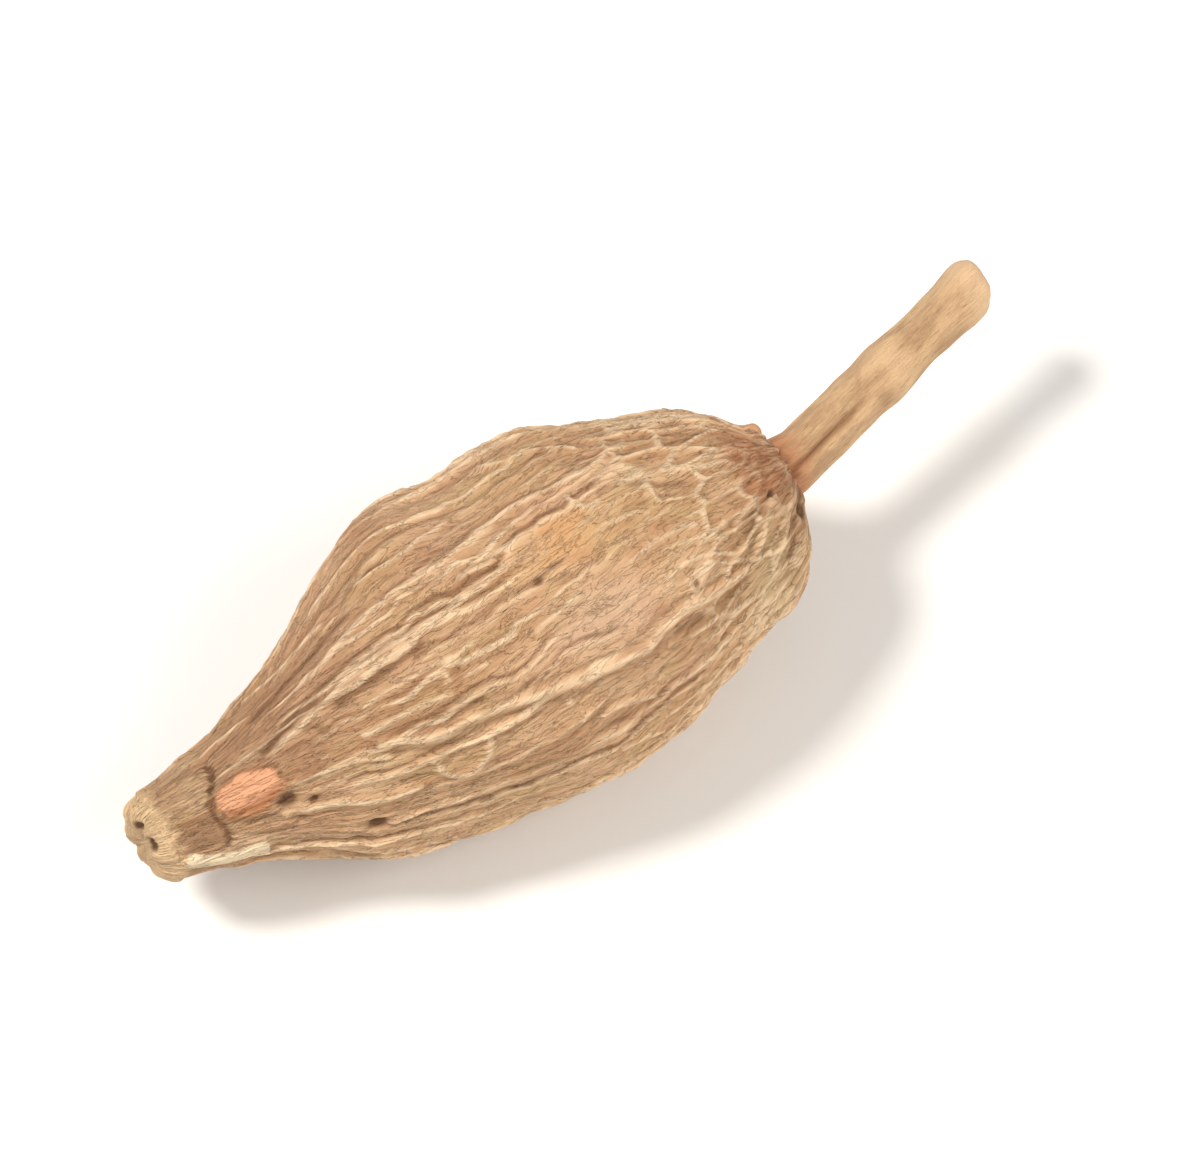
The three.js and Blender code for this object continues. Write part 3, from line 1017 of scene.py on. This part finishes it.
def coats(tree, colour, layers):
    """Lay colours in turn, each where its place and its texture, moved to a range, both are high."""
    for tint, place, texture, *limits in layers:
        share = ranged(texture, *limits) if limits else texture
        if isinstance(place, str):
            place = painted(tree, place)
        share = share if place is None else combined("MULTIPLY", place, share)
        colour = coat(colour, tint, share)
    return colour


def veins(place, stretch, distortion=0.4):
    """Thin wandering lines, 1 on the line: where a noise passes through its middle value."""
    level = stretched_noise(place, stretch, 3, 0.55, distortion)
    off = combined("ABSOLUTE", combined("SUBTRACT", level, 0.5), 0.0)
    return ranged(off, VEIN_WIDTH, 0.0)


def relief(height, depth, below=None):
    """Fine relief of a given depth in metres, on top of another."""
    inputs = {"Height": height, "Distance": depth, "Strength": 1}
    if below is not None:
        inputs["Normal"] = below
    return added("ShaderNodeBump", inputs).outputs["Normal"]


def finished(shader, colour, roughness, specular, normal):
    """Feed what we made into the material's own shader."""
    for name, socket in (("Base Color", colour), ("Roughness", roughness), ("Normal", normal)):
        shader.id_data.links.new(socket, shader.inputs[name])
    shader.inputs["Specular IOR Level"].default_value = specular


# %% Dried husk
TAN = (0.54, 0.31, 0.16)
LIGHT_TAN = (0.68, 0.435, 0.25)
STRAW_TINT = (0.56, 0.37, 0.17)
ROSE_TINT = (0.56, 0.31, 0.19)
WARM_BROWN = (0.37, 0.17, 0.07)
CREAM = (0.84, 0.62, 0.40)
# dirt and painted shade in the furrows, and the dark flecks
FURROW_BROWN = (0.2, 0.088, 0.036)
PIT_AND_FOLD_SHADE = (0.16, 0.07, 0.028)
ORANGE = (0.68, 0.36, 0.15)
LILAC = (0.63, 0.41, 0.265)
SCAR_PINK = (0.76, 0.36, 0.195)
SCAR_BROWN = (0.38, 0.15, 0.06)
FACET_GREY = (0.40, 0.215, 0.11)
BEAK_CREAM = (0.88, 0.60, 0.34)
LEDGE_CREAM_AND_HIGHLIGHT = (0.9, 0.72, 0.49)
COLLAR_TAN = (0.5, 0.31, 0.18)
SHOULDER_STRAW = (0.62, 0.45, 0.25)
DARK_BROWN_AND_SHADE = (0.37, 0.185, 0.095)
SHOULDER_RUST = (0.42, 0.165, 0.07)
VEIN_WIDTH = 0.022
HUSK_SPECULAR = 0.35
GRAIN_DEPTH = 0.00012  # m
VEIN_DEPTH = 0.00005
CRUMB_DEPTH = 0.00012


def husk_finish():
    material, tree, shader = new_material("dried_husk")
    flow = painted(tree, "flow", "Vector")
    clouds = stretched_noise(flow, (0.16, 0.3, 0.3), 3)
    blotches = stretched_noise(flow, (0.5, 0.9, 0.9), 5, 0.65)
    fibres = stretched_noise(flow, (0.7, 7, 7), 6, 0.65, 0.3)
    flecks = stretched_noise(flow, (3.2, 6, 6), 3, 0.5)
    rubbed = stretched_noise(flow, (0.8, 2.2, 2.2), 4, 0.6)
    tints = stretched_noise(flow, (0.22, 0.4, 0.4), 2, 0.5, 0.5)
    folds = veins(flow, (0.5, 2.0, 2.0))
    threads = veins(flow, (0.4, 1.6, 1.6), 0.6)
    crests = ranged(painted(tree, "crest"), 0.22, 0.75)
    ledge = ranged(painted(tree, "ledge"), 0.25, 0.6)

    colour = coats(tree, (*TAN, 1), [  # colour, place, texture, and the range that it is moved to
        (LIGHT_TAN, None, clouds, 0.36, 0.64),
        (STRAW_TINT, None, tints, 0.54, 0.68, 0, 0.55),
        (ROSE_TINT, None, tints, 0.46, 0.32, 0, 0.5),
        (WARM_BROWN, None, blotches, 0.48, 0.74, 0, 0.62),
        (LIGHT_TAN, None, fibres, 0.52, 0.72, 0, 0.38),
        (WARM_BROWN, None, fibres, 0.46, 0.28, 0, 0.3),
        # darker brown with painted shade on the beak's upper side
        (DARK_BROWN_AND_SHADE, "brown_and_shade", rubbed, 0.35, 0.6, 0.95, 0.55),
        (ORANGE, "orange", blotches, 0.36, 0.6, 0.1, 0.7),
        (SHOULDER_STRAW, "straw", fibres, 0.35, 0.6, 0.85, 0.6),
        (LILAC, "lilac", fibres, 0.35, 0.6, 0.85, 0.6),
        (COLLAR_TAN, "beak", blotches, 0.42, 0.58, 0, 0.6),
        (WARM_BROWN, folds, 0.35),
        (CREAM, threads, 0.25),
        # painted shade and dirt in the furrows
        (FURROW_BROWN, None, painted(tree, "furrow"), 0.15, 0.85, 0, 0.8),
        (CREAM, crests, rubbed, 0.3, 0.6, 0.32, 0.85),
        (FACET_GREY, "facet", 0.85),
        (SCAR_PINK, "scar", blotches, 0.4, 0.7, 0.95, 0.75),
        (SCAR_BROWN, "scar_low", 0.9),
        (WARM_BROWN, "scar_edge", rubbed, 0.35, 0.6, 0.3, 0.85),
        (BEAK_CREAM, "beak_end", rubbed, 0.25, 0.5, 0.6, 0.95),
        # the torn ledge's pale cream, made lighter as a painted highlight along the lower edge
        (LEDGE_CREAM_AND_HIGHLIGHT, ledge, rubbed, 0.3, 0.5, 0.6, 0.95),
        (SHOULDER_RUST, "shoulder", blotches, 0.36, 0.58, 0.5, 0.95),
        (FURROW_BROWN, None, flecks, 0.68, 0.76, 0, 0.55),
        # painted shade in the pits and in the fold round the stalk's foot
        (PIT_AND_FOLD_SHADE, None, painted(tree, "pit_and_fold_shade"), 0.3, 0.8, 0, 0.92),
    ])
    gloss = ranged(fibres, 0.35, 0.7, 0.82, 0.6)

    place = tree.nodes.new("ShaderNodeTexCoord").outputs["Object"]
    off_scar = ranged(painted(tree, "scar"), 0.0, 1.0, 1.0, 0.25)
    grain = relief(combined("MULTIPLY", fibres, off_scar), GRAIN_DEPTH)
    creases = relief(combined("SUBTRACT", threads, folds), VEIN_DEPTH, grain)
    crumbs = stretched_noise(place, (1600, 1900, 1900), 5, 0.65, 0.8)
    finished(shader, colour, gloss, HUSK_SPECULAR, relief(crumbs, CRUMB_DEPTH, creases))
    return material


husk.data.materials.append(husk_finish())
print("husk finish:", husk.data.materials[0].name)

# %% [markdown]
# ## The stalk's finish
#
# The stalk is paler than the husk, the colour of straw, with fine brown lines in its grain. It is
# reddish at its foot, where it grew out of the husk, and palest at its end.

# %% Straw of the stalk
STRAW = (0.47, 0.285, 0.15)
STRAW_LIGHT = (0.64, 0.415, 0.225)
STRAW_PALE = (0.76, 0.52, 0.31)
STRAW_LINE = (0.26, 0.125, 0.05)
STALK_SPECULAR = 0.4
STALK_GRAIN_DEPTH = 0.00018  # m


def stalk_finish():
    material, tree, shader = new_material("stalk_straw")
    flow = painted(tree, "flow", "Vector")
    clouds = stretched_noise(flow, (0.35, 0.8, 0.8), 3)
    fibres = stretched_noise(flow, (0.9, 9, 9), 5, 0.6, 0.2)
    colour = coats(tree, (*STRAW, 1), [
        (STRAW_LIGHT, None, clouds, 0.4, 0.62),
        (STRAW_LIGHT, None, fibres, 0.52, 0.7, 0, 0.7),
        (STRAW_LINE, None, fibres, 0.44, 0.28, 0, 0.6),
        # painted shade in the groove and the dent, with the dark grain
        (STRAW_LINE, None, painted(tree, "furrow"), 0.2, 1.0, 0, 0.75),
        (SHOULDER_RUST, "foot", clouds, 0.35, 0.6, 0.6, 0.95),
        (STRAW_PALE, "pale", 0.75),
    ])
    gloss = ranged(fibres, 0.35, 0.7, 0.75, 0.52)
    finished(shader, colour, gloss, STALK_SPECULAR, relief(fibres, STALK_GRAIN_DEPTH))
    return material


stalk.data.materials.append(stalk_finish())
print("stalk finish:", stalk.data.materials[0].name)

# %% [markdown]
# ## Floor, light and camera
#
# A plain pale floor and soft lamps show the relief best. The main lamp stands high at the upper left
# of the picture, so that every ridge has a light and a shaded side, and a broad warm one at the lower
# right opens the shadows. The camera looks down from the front left, with a long lens so that nothing
# is drawn out of shape.

# %% Studio
CAMERA_AZIMUTH = -33.5  # degrees
CAMERA_ELEVATION = 60
CAMERA_DISTANCE = 0.31
LENS_MM = 180
LOOK_AT = Vector((0.0005, 0.0005, 0.006))
ROOM_LIGHT = 0.38


def direction(azimuth, elevation):
    """The direction from the pod at these degrees, azimuth 0 being towards -Y."""
    turn, rise = math.radians(azimuth), math.radians(elevation)
    level = math.cos(rise)
    return Vector((math.sin(turn) * level, -math.cos(turn) * level, math.sin(rise)))


def aim(thing):
    """Turn a lamp or the camera to the pod."""
    thing.rotation_euler = (LOOK_AT - thing.location).to_track_quat("-Z", "Y").to_euler()


def soft_lamp(name, azimuth, elevation, distance, size, power, colour):
    bpy.ops.object.light_add(type="AREA", location=LOOK_AT + direction(azimuth, elevation) * distance)
    lamp = bpy.context.object
    lamp.name = name
    lamp.data.shape = "DISK"
    lamp.data.size = size
    lamp.data.energy = power
    lamp.data.color = colour
    aim(lamp)


def floor_sheet(side):
    bpy.ops.object.select_all(action="DESELECT")
    bpy.ops.mesh.primitive_plane_add(size=side)
    sheet = bpy.context.object
    sheet.name = "floor"
    material, _, shader = new_material("pale_floor")
    shader.inputs["Base Color"].default_value = (0.88, 0.875, 0.865, 1)
    shader.inputs["Roughness"].default_value = 0.9
    sheet.data.materials.append(material)


floor_sheet(4)
soft_lamp("window_lamp", -122, 56, 0.5, 0.14, 2.3, (1.0, 0.96, 0.91))
soft_lamp("opening_lamp", 32, 36, 0.6, 0.55, 2.9, (1.0, 0.95, 0.87))

scene = bpy.context.scene
scene.world = bpy.data.worlds.new("pale_room")
scene.world.use_nodes = True
background = scene.world.node_tree.nodes["Background"]
background.inputs["Color"].default_value = (1, 1, 1, 1)
background.inputs["Strength"].default_value = ROOM_LIGHT
scene.view_settings.view_transform = "Standard"

towards_camera = direction(CAMERA_AZIMUTH, CAMERA_ELEVATION)
bpy.ops.object.camera_add(location=LOOK_AT + towards_camera * CAMERA_DISTANCE)
camera = bpy.context.object
aim(camera)
camera.data.lens = LENS_MM
camera.data.clip_start = 0.01
scene.camera = camera
print("camera at", [round(part, 3) for part in camera.location])
